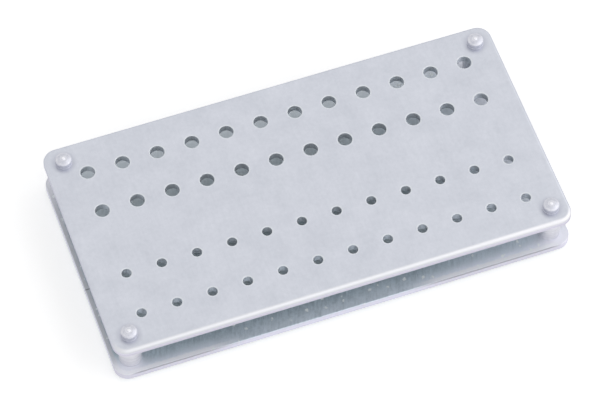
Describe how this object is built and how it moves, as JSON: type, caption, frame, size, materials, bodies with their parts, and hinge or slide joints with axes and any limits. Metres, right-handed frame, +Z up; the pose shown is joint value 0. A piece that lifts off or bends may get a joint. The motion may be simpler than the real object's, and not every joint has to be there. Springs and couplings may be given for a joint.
{
  "type": "dental bur holder",
  "caption": "Low two-plate stand for dental burs: a drilled metal plate riveted over a plain base plate on corner spacers, with wide and slim shank holes in rows.",
  "frame": {"origin": "on the surface that the holder stands on, below the middle of the plates", "axes": "+X along the long side, +Y to the back where the wide holes are, +Z up out of the bur holes"},
  "size_m": [0.0826, 0.043, 0.0113],
  "materials": {
    "plate_aluminium": "satin sheet, rolled and fine scratched",
    "turned_aluminium": "satin, fine turned rings",
    "rivet_aluminium": "semi-bright, pressed"
  },
  "bodies": {
    "root": {"base_plate": "plate_aluminium", "top_plate": "plate_aluminium", "spacer_front_left": "turned_aluminium", "spacer_front_right": "turned_aluminium", "spacer_back_left": "turned_aluminium", "spacer_back_right": "turned_aluminium", "rivet_front_left": "rivet_aluminium", "rivet_front_right": "rivet_aluminium", "rivet_back_left": "rivet_aluminium", "rivet_back_right": "rivet_aluminium"}
  },
  "joints": []
}
